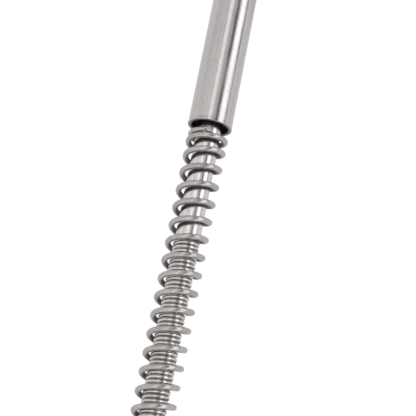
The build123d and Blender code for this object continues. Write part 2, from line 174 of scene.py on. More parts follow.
# %% Group: handling smears
def build_smears():
    tree, start, end = new_group(
        "handling_smears",
        [("Vector", (0.0, 0.0, 0.0)), ("Smear Size", 60.0), ("Fleck Size", 900.0), ("Fleck Level", 0.62)],
        [("Smear", "NodeSocketFloat"), ("Flecks", "NodeSocketFloat")],
    )
    cloud = node(tree, "ShaderNodeTexNoise", [("Vector", start.outputs["Vector"]),
                                             ("Scale", start.outputs["Smear Size"])],
                 Detail=5.0, Roughness=0.62, Distortion=0.6)
    smear = node(tree, "ShaderNodeMapRange", [("Value", cloud.outputs["Fac"])],
                 **{"From Min": 0.35, "From Max": 0.68})
    speck = node(tree, "ShaderNodeTexNoise", [("Vector", start.outputs["Vector"]),
                                             ("Scale", start.outputs["Fleck Size"])],
                 Detail=2.0, Roughness=0.7)
    above = math_node(tree, "SUBTRACT", speck.outputs["Fac"], start.outputs["Fleck Level"])
    sharp = math_node(tree, "MULTIPLY", above, 9.0, clamp=True)
    tree.links.new(smear.outputs[0], end.inputs["Smear"])
    tree.links.new(math_node(tree, "MULTIPLY", sharp, smear.outputs[0]), end.inputs["Flecks"])
    return tree


handling_smears = build_smears()
print("group:", handling_smears.name)

# %% [markdown]
# Corners rub bright and hollows keep grime. Cycles can say how sharp a surface is at each point, and a
# noise breaks the result up, so the wear comes and goes along an edge as it does on a used tool.

# %% Group: edge wear
def build_edge_wear():
    tree, start, end = new_group(
        "edge_wear",
        [("Vector", (0.0, 0.0, 0.0)), ("Break Up", 500.0), ("Edge Level", 0.54), ("Hollow Level", 0.46)],
        [("Worn", "NodeSocketFloat"), ("Grime", "NodeSocketFloat")],
    )
    shape = node(tree, "ShaderNodeNewGeometry")
    patch = node(tree, "ShaderNodeTexNoise", [("Vector", start.outputs["Vector"]),
                                             ("Scale", start.outputs["Break Up"])], Detail=4.0)
    nudge = math_node(tree, "MULTIPLY_ADD", patch.outputs["Fac"], 0.08, -0.04)
    sharp = math_node(tree, "ADD", shape.outputs["Pointiness"], nudge)
    worn = math_node(tree, "SUBTRACT", sharp, start.outputs["Edge Level"])
    grime = math_node(tree, "SUBTRACT", start.outputs["Hollow Level"], sharp)
    tree.links.new(math_node(tree, "MULTIPLY", worn, 14.0, clamp=True), end.inputs["Worn"])
    tree.links.new(math_node(tree, "MULTIPLY", grime, 12.0, clamp=True), end.inputs["Grime"])
    return tree


edge_wear = build_edge_wear()
print("group:", edge_wear.name)

# %% [markdown]
# That measure lives on a mesh's corners, so it spreads over a wide flat face that has no points inside it.
# The small metal and the moulded pieces, some of them flat-sided, take their worn corners from a second
# group. It asks for the normal of a slightly rounded copy of the surface, which differs from the real
# normal only close to an edge, however few faces the piece has.

# %% Group: corner wear
CORNER_RADIUS = 0.7 * MM


def build_corner_wear():
    tree, start, end = new_group(
        "corner_wear", [("Vector", (0.0, 0.0, 0.0)), ("Break Up", 500.0)], [("Worn", "NodeSocketFloat")])
    shape = node(tree, "ShaderNodeNewGeometry")
    rounded = node(tree, "ShaderNodeBevel", Radius=CORNER_RADIUS)
    agree = node(tree, "ShaderNodeVectorMath", [(0, rounded.outputs[0]), (1, shape.outputs["Normal"])],
                 operation="DOT_PRODUCT")
    patch = node(tree, "ShaderNodeTexNoise", [("Vector", start.outputs["Vector"]),
                                             ("Scale", start.outputs["Break Up"])], Detail=4.0)
    turned_away = math_node(tree, "MULTIPLY_ADD", agree.outputs["Value"], -8.0, 8.0)
    held_back = math_node(tree, "MULTIPLY_ADD", patch.outputs["Fac"], -2.4, 0.8)
    tree.links.new(math_node(tree, "ADD", turned_away, held_back, clamp=True), end.inputs["Worn"])
    return tree


corner_wear = build_corner_wear()
print("group:", corner_wear.name)

# %% [markdown]
# ## Finishes
# Each kind of finish below is one short function. All of them share a start, a Principled shader and the
# piece's own coordinates, and then set the effects that they need to their own strengths. What differs is
# the tint, how sharp the reflections are, and what marks the maker and the years leave.

# %% The start that every finish shares
def new_finish(name, metallic=1.0, roughness=0.3):
    material = bpy.data.materials.new(name)
    material.use_nodes = True
    tree = material.node_tree
    shader = tree.nodes["Principled BSDF"]
    shader.inputs["Metallic"].default_value = metallic
    shader.inputs["Roughness"].default_value = roughness
    place = tree.nodes.new("ShaderNodeTexCoord").outputs["Object"]
    return material, tree, shader, place


def use_group(tree, group, place, **settings):
    made = tree.nodes.new("ShaderNodeGroup")
    made.node_tree = group
    tree.links.new(place, made.inputs["Vector"])
    for key, value in settings.items():
        made.inputs[key.replace("_", " ").title()].default_value = value
    return made.outputs


def tint(tree, factor, low, high):
    """A colour that goes from low to high with a mask. Low is a plain colour or the socket of one below."""
    mix = tree.nodes.new("ShaderNodeMix")
    mix.data_type = "RGBA"
    mix.inputs[7].default_value = (*high, 1.0)
    tree.links.new(factor, mix.inputs[0])
    if isinstance(low, bpy.types.NodeSocket):
        tree.links.new(low, mix.inputs[6])
    else:
        mix.inputs[6].default_value = (*low, 1.0)
    return mix.outputs[2]


def between(tree, factor, low, high):
    """A value that goes from low to high with a mask."""
    spread = node(tree, "ShaderNodeMapRange", [("Value", factor)], **{"To Min": low, "To Max": high})
    return spread.outputs[0]


def raise_surface(tree, shader, height, depth_mm):
    """Feeds a Bump node, whose depth is in real millimetres, into the shader's normal."""
    bump = node(tree, "ShaderNodeBump", [("Height", height)], Strength=1.0, Distance=depth_mm * MM)
    tree.links.new(bump.outputs[0], shader.inputs["Normal"])


print("finish helpers ready")

# %% [markdown]
# The guide tube is welded steel tube, drawn bright and polished. Its reflections are nearly sharp, so its
# look comes from small things: die lines that blur light across the tube but not along it, a slow waviness
# that makes reflected edges wander, smears that dull patches, and fine dark scratches that run lengthwise.
# A sawn end is duller than the drawn side, and the bore is rougher and painted near black, as painted shade.

# %% Finish: drawn bright metal, for the tube and the shaft
# The bore mask is full from this radius outwards, and fades towards the axis.
SMALLEST_BORE = 2.5 * MM
# Painted shade: the near-black colour given to the inside of the tube.
BORE_SHADE_COLOUR = (0.05, 0.045, 0.04)


def end_and_bore_masks(tree, place):
    """Masks for faces that look along the tool, and for faces that look in towards its axis."""
    facing = tree.nodes.new("ShaderNodeTexCoord").outputs["Normal"]
    along = node(tree, "ShaderNodeSeparateXYZ", [("Vector", facing)]).outputs["X"]
    sawn = math_node(tree, "MULTIPLY_ADD", math_node(tree, "ABSOLUTE", along), 4.0, -2.6, clamp=True)
    from_axis = node(tree, "ShaderNodeVectorMath", [(0, place)], operation="SUBTRACT")
    from_axis.inputs[1].default_value = mouth
    flat = node(tree, "ShaderNodeVectorMath", [(0, from_axis.outputs[0])], operation="MULTIPLY")
    flat.inputs[1].default_value = (0.0, 1.0, 1.0)
    outward = node(tree, "ShaderNodeVectorMath", [(0, flat.outputs[0]), (1, facing)], operation="DOT_PRODUCT")
    bore = math_node(tree, "MULTIPLY", outward.outputs["Value"], -1.0 / SMALLEST_BORE, clamp=True)
    return sawn, bore


def drawn_metal(name, dark, light, smooth, dull, line_depth_mm, streaks=0.5, along=9.0, across=1500.0,
                wave_mm=0.08, wave_size=150.0):
    material, tree, shader, place = new_finish(name)
    lines = use_group(tree, drawn_lines, place, along=along, across=across)["Lines"]
    smears = use_group(tree, handling_smears, place, smear_size=70.0, fleck_size=1100.0, fleck_level=0.6)
    wear = use_group(tree, edge_wear, place)
    body = tint(tree, math_node(tree, "MULTIPLY_ADD", lines, 2.4, -0.7, clamp=True), dark, light)
    low_lines = math_node(tree, "SUBTRACT", 0.47, lines)
    scratch = math_node(tree, "MULTIPLY", low_lines, 9.0, clamp=True)
    scratched = math_node(tree, "MULTIPLY", scratch, smears["Smear"])
    shaded = [0.45 * c for c in dark]
    streaky = tint(tree, math_node(tree, "MULTIPLY", scratched, streaks), body, shaded)
    fleck_mask = math_node(tree, "MULTIPLY", smears["Flecks"], 0.55)
    flecked = tint(tree, fleck_mask, streaky, [0.5 * c for c in dark])
    rubbed = tint(tree, math_node(tree, "MULTIPLY", wear["Worn"], 0.5), flecked, [1.15 * c for c in light])
    sawn, bore = end_and_bore_masks(tree, place)
    ended = tint(tree, math_node(tree, "MULTIPLY", sawn, 0.8), rubbed, shaded)
    # The inside of the tube is painted near black here: painted shade.
    bore_shaded = tint(tree, math_node(tree, "MULTIPLY", bore, 0.9), ended, BORE_SHADE_COLOUR)
    tree.links.new(bore_shaded, shader.inputs["Base Color"])
    dulled = between(tree, smears["Smear"], smooth, dull)
    scored = math_node(tree, "MULTIPLY_ADD", scratched, 0.12, dulled)
    unpolished = math_node(tree, "MAXIMUM", sawn, bore)
    tree.links.new(math_node(tree, "MULTIPLY_ADD", unpolished, 0.25, scored), shader.inputs["Roughness"])
    wave = node(tree, "ShaderNodeTexNoise", [("Vector", place)], Scale=wave_size, Detail=1.0)
    lines_mm = math_node(tree, "MULTIPLY", lines, line_depth_mm)
    height_mm = math_node(tree, "MULTIPLY_ADD", wave.outputs["Fac"], wave_mm, lines_mm)
    raise_surface(tree, shader, height_mm, 1.0)
    return material


bright_tube = drawn_metal("bright_tube", (0.44, 0.42, 0.415), (0.61, 0.585, 0.58), 0.10, 0.24, 0.012,
                          streaks=0.7)
bright_shaft = drawn_metal("bright_shaft", (0.55, 0.54, 0.54), (0.72, 0.71, 0.71), 0.12, 0.26, 0.010,
                           streaks=0.35, across=1800.0, wave_mm=0.03)
print("finishes:", bright_tube.name, bright_shaft.name)

# %% [markdown]
# Spring wire is drawn hard and then coiled over a mandrel. The lines follow the wire round, so they use
# the wire's own coordinates, where X is the length unrolled from the coil and Y goes round the wire. The
# auger's wire is dull and slightly brown from its heat treatment, and its outside has rubbed bright on
# pipe walls. The side that faces the core is made rougher and painted dark, as painted shade for the
# little light that gets in between the wire and the core. The core's wire is finer and stays cleaner.

# %% Finish: coiled wire
# Painted shade: the dark colour on the side of a coiled wire that faces the core.
INNER_SHADE_COLOUR = (0.045, 0.040, 0.040)


def coiled_wire(name, wire_mm, dark, light, rubbed_colour, smooth, dull, line_depth_mm, rub=0.5, inner_side_strength=0.8):
    material, tree, shader, place = new_finish(name)
    unrolled = tree.nodes.new("ShaderNodeUVMap").outputs["UV"]
    round_wire = node(tree, "ShaderNodeSeparateXYZ", [("Vector", unrolled)]).outputs["Y"]
    facing_out = math_node(tree, "COSINE", math_node(tree, "MULTIPLY", round_wire, 1.0 / (wire_mm * MM)))
    inner_side = node(tree, "ShaderNodeMapRange", [("Value", facing_out)],
                      **{"From Min": 0.25, "From Max": -0.55, "To Min": 0.0, "To Max": inner_side_strength}).outputs[0]
    lines = use_group(tree, drawn_lines, unrolled, along=60.0, across=1500.0, coarse_share=0.5)["Lines"]
    smears = use_group(tree, handling_smears, place, smear_size=110.0, fleck_size=1500.0, fleck_level=0.57)
    grain = node(tree, "ShaderNodeTexNoise", [("Vector", place)], Scale=2600.0, Detail=3.0, Roughness=0.7)
    body = tint(tree, math_node(tree, "MULTIPLY_ADD", lines, 1.7, -0.35, clamp=True), dark, light)
    rub_mask = math_node(tree, "MULTIPLY", smears["Smear"], rub)
    rubbed = tint(tree, rub_mask, body, rubbed_colour)
    flecked = tint(tree, math_node(tree, "MULTIPLY", smears["Flecks"], 0.6), rubbed, [0.4 * c for c in dark])
    # The side of the wire that faces the core is painted dark here: painted shade.
    inner_shaded = tint(tree, inner_side, flecked, INNER_SHADE_COLOUR)
    tree.links.new(inner_shaded, shader.inputs["Base Color"])
    rough = between(tree, smears["Smear"], dull, smooth)
    grained = math_node(tree, "MULTIPLY_ADD", grain.outputs["Fac"], 0.08, rough)
    tree.links.new(math_node(tree, "MULTIPLY_ADD", inner_side, 0.2, grained), shader.inputs["Roughness"])
    height = math_node(tree, "MULTIPLY_ADD", grain.outputs["Fac"], 0.6, lines)
    raise_surface(tree, shader, height, line_depth_mm)
    return material


spring_wire = coiled_wire("spring_wire", 1.5, (0.30, 0.275, 0.27), (0.56, 0.525, 0.515), (0.64, 0.605, 0.60),
                          0.17, 0.28, 0.020)
core_wire = coiled_wire("core_wire", 1.17, (0.46, 0.44, 0.43), (0.70, 0.68, 0.67), (0.76, 0.75, 0.74),
                        0.12, 0.22, 0.010, rub=0.6, inner_side_strength=0.55)
print("finishes:", spring_wire.name, core_wire.name)

# %% [markdown]
# A weld bead is metal that froze while it was still being pushed about. Its skin has ripples, soot and
# straw-to-blue heat colours, so the colour runs through a ramp, and the surface is bumpy and rough.

# %% Finish: weld metal
def weld_finish():
    material, tree, shader, place = new_finish("weld_metal", roughness=0.5)
    heat = node(tree, "ShaderNodeTexNoise", [("Vector", place)], Scale=420.0, Detail=4.0)
    ramp = node(tree, "ShaderNodeValToRGB", [("Fac", heat.outputs["Fac"])])
    stops = ((0.30, (0.16, 0.145, 0.14)), (0.42, (0.36, 0.33, 0.31)), (0.56, (0.56, 0.53, 0.51)),
             (0.72, (0.40, 0.39, 0.41)))
    ramp.color_ramp.elements[0].position, ramp.color_ramp.elements[1].position = stops[0][0], stops[-1][0]
    ramp.color_ramp.elements[0].color = (*stops[0][1], 1.0)
    ramp.color_ramp.elements[1].color = (*stops[-1][1], 1.0)
    for position, colour in stops[1:-1]:
        ramp.color_ramp.elements.new(position).color = (*colour, 1.0)
    tree.links.new(ramp.outputs[0], shader.inputs["Base Color"])
    pits = node(tree, "ShaderNodeTexNoise", [("Vector", place)], Scale=2200.0, Detail=4.0, Roughness=0.7)
    tree.links.new(between(tree, pits.outputs["Fac"], 0.36, 0.62), shader.inputs["Roughness"])
    raise_surface(tree, shader, pits.outputs["Fac"], 0.08)
    return material


weld_metal = weld_finish()
print("finish:", weld_metal.name)

# %% [markdown]
# The small turned parts are zinc plated. Plating follows every tool mark, adds a faint blue and straw
# cast that shifts from place to place, and wears through to grey steel on corners. The collar is die-cast
# zinc instead, tumbled in stones, so it has a pebbly grain and no turning marks.

# %% Finishes: plated steel, satin alloy, cast zinc, brass and blackened screws
GRIME_COLOUR = (0.10, 0.09, 0.08)


def small_metal(name, dark, light, cast_colour, smooth, dull, grain_size, grain_depth_mm, worn_colour):
    material, tree, shader, place = new_finish(name)
    smears = use_group(tree, handling_smears, place, smear_size=130.0, fleck_size=1400.0, fleck_level=0.6)
    wear = use_group(tree, edge_wear, place, break_up=650.0)
    corners = use_group(tree, corner_wear, place, break_up=650.0)
    grain = node(tree, "ShaderNodeTexNoise", [("Vector", place)],
                 Scale=grain_size, Detail=4.0, Roughness=0.65)
    body = tint(tree, grain.outputs["Fac"], dark, light)
    cast = tint(tree, math_node(tree, "MULTIPLY", smears["Smear"], 0.45), body, cast_colour)
    flecked = tint(tree, math_node(tree, "MULTIPLY", smears["Flecks"], 0.4), cast, [0.4 * c for c in dark])
    grimy = tint(tree, math_node(tree, "MULTIPLY", wear["Grime"], 0.5), flecked, GRIME_COLOUR)
    worn = tint(tree, math_node(tree, "MULTIPLY", corners["Worn"], 0.8), grimy, worn_colour)
    tree.links.new(worn, shader.inputs["Base Color"])
    tree.links.new(between(tree, smears["Smear"], smooth, dull), shader.inputs["Roughness"])
    raise_surface(tree, shader, grain.outputs["Fac"], grain_depth_mm)
    return material


zinc_plate = small_metal("zinc_plate", (0.50, 0.52, 0.56), (0.68, 0.70, 0.73), (0.70, 0.68, 0.58),
                         0.20, 0.36, 900.0, 0.010, (0.74, 0.74, 0.74))
satin_alloy = small_metal("satin_alloy", (0.62, 0.62, 0.64), (0.76, 0.76, 0.77), (0.66, 0.66, 0.66),
                          0.30, 0.42, 1300.0, 0.012, (0.86, 0.86, 0.86))
cast_zinc = small_metal("cast_zinc", (0.30, 0.30, 0.32), (0.50, 0.50, 0.52), (0.42, 0.41, 0.40),
                        0.38, 0.55, 480.0, 0.060, (0.66, 0.66, 0.67))
pad_brass = small_metal("pad_brass", (0.62, 0.45, 0.20), (0.80, 0.62, 0.32), (0.55, 0.40, 0.22),
                        0.24, 0.40, 1100.0, 0.010, (0.88, 0.72, 0.42))
black_screws = small_metal("black_screws", (0.025, 0.025, 0.028), (0.07, 0.07, 0.075), (0.10, 0.075, 0.05),
                           0.30, 0.50, 1200.0, 0.012, (0.40, 0.39, 0.38))
print("finishes:", [m.name for m in (zinc_plate, satin_alloy, cast_zinc, pad_brass, black_screws)])

# %% [markdown]
# Rubber, moulded plastic, nylon and powder coat are not metals. What sets them apart is the texture of
# the mould or the coat, a thin haze of dust that settles in hollows, and scuffs that turn black to grey.
# The powder coat also chips at corners, and there the metal under it shows, so its mask drives Metallic.

# %% Finishes: moulded and coated pieces
BARE_METAL = (0.45, 0.44, 0.43)


def moulded(name, dark, light, dust_colour, roughness, texture_size, texture_depth_mm, coat=0.0, chips=0.0):
    material, tree, shader, place = new_finish(name, metallic=0.0)
    smears = use_group(tree, handling_smears, place, smear_size=55.0, fleck_size=800.0, fleck_level=0.63)
    wear = use_group(tree, edge_wear, place, break_up=380.0)
    corners = use_group(tree, corner_wear, place, break_up=380.0)
    texture = node(tree, "ShaderNodeTexVoronoi", [("Vector", place)], Scale=texture_size)
    cloud = node(tree, "ShaderNodeTexNoise", [("Vector", place)], Scale=texture_size * 0.4, Detail=4.0)
    body = tint(tree, cloud.outputs["Fac"], dark, light)
    scuffed = tint(tree, math_node(tree, "MULTIPLY", smears["Smear"], 0.35), body, [2.1 * c for c in light])
    dusty = tint(tree, math_node(tree, "MULTIPLY", wear["Grime"], 0.55), scuffed, dust_colour)
    flecked = tint(tree, math_node(tree, "MULTIPLY", smears["Flecks"], 0.5), dusty, dust_colour)
    chip_mask = math_node(tree, "MULTIPLY", corners["Worn"], chips if chips else 0.5)
    edge_colour = BARE_METAL if chips else [3.0 * c for c in light]
    tree.links.new(tint(tree, chip_mask, flecked, edge_colour), shader.inputs["Base Color"])
    if chips:
        tree.links.new(chip_mask, shader.inputs["Metallic"])
    tree.links.new(between(tree, smears["Smear"], roughness, roughness + 0.14), shader.inputs["Roughness"])
    shader.inputs["Coat Weight"].default_value = coat
    shader.inputs["Coat Roughness"].default_value = 0.25
    height = math_node(tree, "MULTIPLY_ADD", cloud.outputs["Fac"], 0.8, texture.outputs["Distance"])
    raise_surface(tree, shader, height, texture_depth_mm)
    return material


grip_rubber = moulded("grip_rubber", (0.022, 0.022, 0.023), (0.040, 0.039, 0.038), (0.22, 0.20, 0.18),
                      0.58, 1500.0, 0.05)
knob_plastic = moulded("knob_plastic", (0.018, 0.018, 0.020), (0.032, 0.032, 0.034), (0.18, 0.17, 0.16),
                       0.42, 1900.0, 0.03)
black_nylon = moulded("black_nylon", (0.016, 0.016, 0.016), (0.030, 0.030, 0.030), (0.16, 0.15, 0.14),
                      0.46, 1200.0, 0.02)
painted_arm = moulded("painted_arm", (0.020, 0.020, 0.022), (0.034, 0.034, 0.036), (0.18, 0.17, 0.16),
                      0.34, 700.0, 0.05, coat=0.2, chips=0.95)
print("finishes:", [m.name for m in (grip_rubber, knob_plastic, black_nylon, painted_arm)])

# %% [markdown]
# ## Dressing the working model
# The record says which finish each piece takes. Pieces whose shape is already right keep their own mesh
# and only swap material; the coiled wires and the weld beads are made again further down.

# %% Put each finish on its pieces
finish_of = {m.name: m for m in (
    bright_tube, bright_shaft, core_wire, spring_wire, weld_metal, zinc_plate, satin_alloy, cast_zinc,
    painted_arm, black_screws, pad_brass, black_nylon, knob_plastic, grip_rubber)}
slot_of = {part["node"]: part["material_slot"] for part in frame["record"]["subparts"]}
for name, piece in nodes.items():
    piece.data.materials.clear()
    piece.data.materials.append(finish_of[slot_of[name]])
print("dressed:", len(nodes), "pieces with", len(finish_of), "finishes")

# %% [markdown]
# ## Coiled wires
# A coil is a round section carried along a helix. The helix is described as runs, each with a number of
# turns, a pitch and a radius at either end. Real wire can't change pitch at a corner, so the runs are
# sampled and their steps are eased before the line is added up. A few slow waves then let the turns wander
# a little, as hand-fed wire does. The section is laid on the line as rings of points, and every ring knows
# its length along the wire for the drawn lines to follow.

# %% Line of a coiled wire
STEPS_PER_TURN = 64
WANDER_WAVES, SLOWEST_WAVE, WAVE_STEP = 4, 0.11, 0.23


def winding(start_mm, first_turn, runs, ease_turns=0.16, wander_mm=0.0, seed=1):
    """Points and outward directions along a coil. Runs are (turns, pitch, radius at start, radius at end)."""
    pitches, radii = [], []
    for turns, pitch, radius, end_radius in runs:
        count = max(2, round(turns * STEPS_PER_TURN))
        pitches += [pitch] * count
        radii += list(np.linspace(radius, end_radius, count))
    window = max(1, round(ease_turns * STEPS_PER_TURN))
    eased = []
    for values in (pitches, radii):
        padded = np.concatenate([[values[0]] * window, values, [values[-1]] * window])
        eased.append(np.convolve(padded, np.ones(2 * window + 1) / (2 * window + 1), mode="valid"))
    pitch, radius = eased
    total = sum(turns for turns, *_ in runs)
    turn = first_turn + np.linspace(0.0, total, len(pitch))
    step = total / (len(pitch) - 1)
    station = start_mm + np.concatenate([[0.0], np.cumsum((pitch[1:] + pitch[:-1]) / 2 * step)])
    if wander_mm:
        dice = np.random.default_rng(seed)
        phases = dice.uniform(0, TURN, WANDER_WAVES)
        for k, phase in enumerate(phases):
            waves_per_turn = SLOWEST_WAVE + WAVE_STEP * k
            station = station + wander_mm / (k + 1) * np.sin(waves_per_turn * TURN * turn + phase)
    angle = TURN * (turn + 0.25)
    outward = np.stack([np.zeros_like(angle), np.cos(angle), np.sin(angle)], axis=1)
    line = np.array(mouth) + MM * (np.outer(station, (1, 0, 0)) + outward * radius[:, None])
    return line, outward


print("winding helper ready,", STEPS_PER_TURN, "steps a turn")

# %% [markdown]
# The ends matter as much as the run. A wire snipped with cutters has a flat face with a small rounded
# rim, so three short rings bring the section in before the face closes it.

# %% Skin of a coiled wire
# Each rim ring is (how far in from the end, how wide), both as shares of the wire's radius.
RIM = ((0.0, 0.80), (0.10, 0.95), (0.28, 1.0))


def wire_piece(name, line, outward, wire_mm, sides, body, slot_name, stands_for):
    """Skins a round wire along a line, rides it on a body, and lets it stand in for a node of the frame."""
    along = np.gradient(line, axis=0)
    along /= np.linalg.norm(along, axis=1)[:, None]
    sideways = np.cross(along, outward)
    sideways /= np.linalg.norm(sideways, axis=1)[:, None]
    upright = np.cross(sideways, along)
    length = np.concatenate([[0.0], np.cumsum(np.linalg.norm(np.diff(line, axis=0), axis=1))])
    wire = wire_mm * MM
    rim_length = RIM[-1][0] * wire
    rings = [(line[0] + along[0] * wire * back, 0, share) for back, share in RIM]
    for i in range(1, len(line) - 1):
        if rim_length < length[i] < length[-1] - rim_length:
            rings.append((line[i], i, 1.0))
    rings += [(line[-1] - along[-1] * wire * back, len(line) - 1, share) for back, share in reversed(RIM)]
    verts = []
    for centre, i, share in rings:
        for k in range(sides):
            angle = TURN * k / sides
            spoke = math.cos(angle) * upright[i] + math.sin(angle) * sideways[i]
            verts.append(centre + wire * share * spoke)
    faces, corners = [], []
    for r in range(len(rings) - 1):
        u0, u1 = length[rings[r][1]], length[rings[r + 1][1]]
        for k in range(sides):
            n = (k + 1) % sides
            faces.append((r * sides + k, r * sides + n, (r + 1) * sides + n, (r + 1) * sides + k))
            v0, v1 = wire * TURN * k / sides, wire * TURN * (k + 1) / sides
            corners += [(u0, v0), (u0, v1), (u1, v1), (u1, v0)]
    last = (len(rings) - 1) * sides
    faces.append(tuple(reversed(range(sides))))
    faces.append(tuple(last + k for k in range(sides)))
    corners += [(0.0, wire * k / sides) for k in range(2 * sides)]
    mesh = bpy.data.meshes.new(name)
    mesh.from_pydata([tuple(v) for v in verts], [], faces)
    uv = mesh.uv_layers.new(name="unrolled")
    uv.data.foreach_set("uv", np.array(corners, np.float32).ravel())
    mesh.shade_smooth()
    piece = add_object(name, mesh)
    mesh.materials.append(finish_of[slot_name])
    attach(piece, body)
    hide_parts(stands_for)
    return piece


print("wire skin helper ready")

# %% [markdown]
# The auger proper is an open spring that bores into a blockage. Its last turns close up, and each end is
# drawn in until it sits on the smooth shaft or the ferrule, where it is welded. The radii come from the
# frame's own boxes, so the wire lies where the working spring does, but for its slight wander.

# %% The open auger spring
def radius_of(name):
    """Half the height of a round piece, in mm."""
    low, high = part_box(name)
    return (high.z - low.z) / 2 / MM


SPRING_WIRE, SPRING_PITCH, SPRING_TURNS = 1.5, 9.48, 19
CLOSED_PITCH, RISE_PITCH, TACK_TURNS, CUT_TURNS = 3.3, 7.626, 0.3, 0.04
SPRING_START = 4.35
spring_outer = radius_of("auger_spring")
spring_mid = spring_outer - SPRING_WIRE
shaft_radius = radius_of("drive_shaft")
ferrule_radius = radius_of("tip_ferrule")
spring_runs = [
    (TACK_TURNS, CLOSED_PITCH, shaft_radius + SPRING_WIRE, spring_mid),
    (1 - TACK_TURNS - CUT_TURNS, CLOSED_PITCH, spring_mid, spring_mid),
    (1, RISE_PITCH, spring_mid, spring_mid),
    (SPRING_TURNS, SPRING_PITCH, spring_mid, spring_mid),
    (1, RISE_PITCH, spring_mid, spring_mid),
    (1 - TACK_TURNS, CLOSED_PITCH, spring_mid, spring_mid),
    (TACK_TURNS, CLOSED_PITCH, spring_mid, ferrule_radius + SPRING_WIRE),
]
print("auger spring outer radius", round(spring_outer, 3), "shaft", round(shaft_radius, 3),
      "ferrule", round(ferrule_radius, 3))
line, outward = winding(SPRING_START, CUT_TURNS, spring_runs, wander_mm=0.035, seed=7)
auger = wire_piece("auger_spring_wire", line, outward, SPRING_WIRE, sides=24,
                   body="drive", slot_name="spring_wire", stands_for="auger_spring")
print("auger wire faces:", len(auger.data.polygons))

# %% [markdown]
# The core inside is closed up until its turns touch, so all that shows of it is a row of bright ridges
# with thin dark grooves between. It is the same kind of piece with a finer wire and one long run.

# %% The close-wound core
CORE_WIRE, CORE_PITCH = 1.17, 2.37
core_low, core_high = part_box("core_spring")
core_start = (core_low.x - mouth.x) / MM + CORE_WIRE
core_length = (core_high.x - core_low.x) / MM - 2 * CORE_WIRE
core_mid = radius_of("core_spring") - CORE_WIRE
core_runs = [(core_length / CORE_PITCH, CORE_PITCH, core_mid, core_mid)]
line, outward = winding(core_start, 0.5, core_runs, wander_mm=0.012, seed=11)
core = wire_piece("core_spring_wire", line, outward, CORE_WIRE, sides=16,
                  body="drive", slot_name="core_wire", stands_for="core_spring")
print("core wire faces:", len(core.data.polygons), "turns", round(core_length / CORE_PITCH, 1))

# %% [markdown]
# The bulb head is wound from thicker wire. A little over two close turns grip the coupling, two more open
# out to the full width, one keeps it, and two close down to a blunt nose that rides round bends.

# %% The bulb head
BULB_WIRE, BULB_PITCH, NOSE_SHARE = 1.6, 8.5, 0.4
BULB_SEAT_TURNS, BULB_SEAT_PITCH = 2.1, 3.35
COUPLING_STEP = 1.3
bulb_outer = radius_of("bulb_head")
coupling_radius = ferrule_radius - COUPLING_STEP
bulb_start = (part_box("tip_ferrule")[1].x - mouth.x) / MM + BULB_WIRE
bulb_mid = bulb_outer - BULB_WIRE
bulb_seat = coupling_radius + BULB_WIRE
bulb_runs = [
    (BULB_SEAT_TURNS, BULB_SEAT_PITCH, bulb_seat, bulb_seat),
    (2, BULB_PITCH, bulb_seat, bulb_mid),
    (1, BULB_PITCH, bulb_mid, bulb_mid),
    (2, BULB_PITCH, bulb_mid, NOSE_SHARE * bulb_mid),
]
line, outward = winding(bulb_start, 0.0, bulb_runs)
bulb = wire_piece("bulb_head_wire", line, outward, BULB_WIRE, sides=24,
                  body="drive", slot_name="spring_wire", stands_for="bulb_head")
print("bulb wire faces:", len(bulb.data.polygons), "outer radius", round(bulb_outer, 2))

# %% [markdown]
# Three wire ends are welded: both ends of the auger spring, and the bulb head's end on the coupling. Each
# is held by one puddle of weld, which runs along the wire more than across it, wets both metals, and sets
# in overlapping ripples. A fine ball is stretched along the wire, bent round the seat, and pushed in and
# out by ripples and noise. The shares below are of the ball's own size, and the widest wrap is in radians.

# %% Weld beads
BEAD_LIFT = 0.35
RIPPLE_SHARE, RIPPLE_RATE, RIPPLE_BEND = 0.035, 9.0, 3.0
LUMP_SHARE, LUMP_RATE = 0.16, 1.6
WIDEST_WRAP = 1.2


def weld_bead(station_mm, turn, seat_mm, long_mm, wide_mm, high_mm, seed):
    """A bead on a round seat. Its long, wide and high sizes are half sizes, and turn is where it sits."""
    centre = on_axis(station_mm, seat_mm + BEAD_LIFT * high_mm, turn)
    angle = TURN * (turn + 0.25)
    up = Vector((0.0, math.cos(angle), math.sin(angle)))
    side = Vector((1.0, 0.0, 0.0))
    forward = up.cross(side)
    mesh = bmesh.new()
    bmesh.ops.create_icosphere(mesh, subdivisions=5, radius=1.0)
    offset = Vector((seed * 3.1, seed * 1.7, 0.0))
    for vert in mesh.verts:
        p = vert.co.copy()
        ripple = RIPPLE_SHARE * math.sin(RIPPLE_RATE * p.x + RIPPLE_BEND * p.y * p.y)
        lumps = LUMP_SHARE * noise.fractal(LUMP_RATE * p + offset, 0.8, 2.1, 4)
        grow = 1.0 + ripple + lumps
        wrap = min(WIDEST_WRAP, abs(long_mm * p.x / seat_mm))
        drop = seat_mm * (1.0 - math.cos(wrap))
        vert.co = centre + MM * grow * (forward * long_mm * p.x + side * wide_mm * p.y + up * high_mm * p.z)
        vert.co -= MM * drop * up
    return mesh


def weld_piece(name, beads):
    whole = bpy.data.meshes.new(name)
    gathered = bmesh.new()
    for bead in beads:
        part = weld_bead(*bead)
        scratch = bpy.data.meshes.new("bead")
        part.to_mesh(scratch)
        gathered.from_mesh(scratch)
        bpy.data.meshes.remove(scratch)
        part.free()
    gathered.to_mesh(whole)
    gathered.free()
    whole.shade_smooth()
    piece = add_object(name, whole)
    whole.materials.append(finish_of["weld_metal"])
    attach(piece, "drive")
    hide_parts("spring_welds")
    return piece


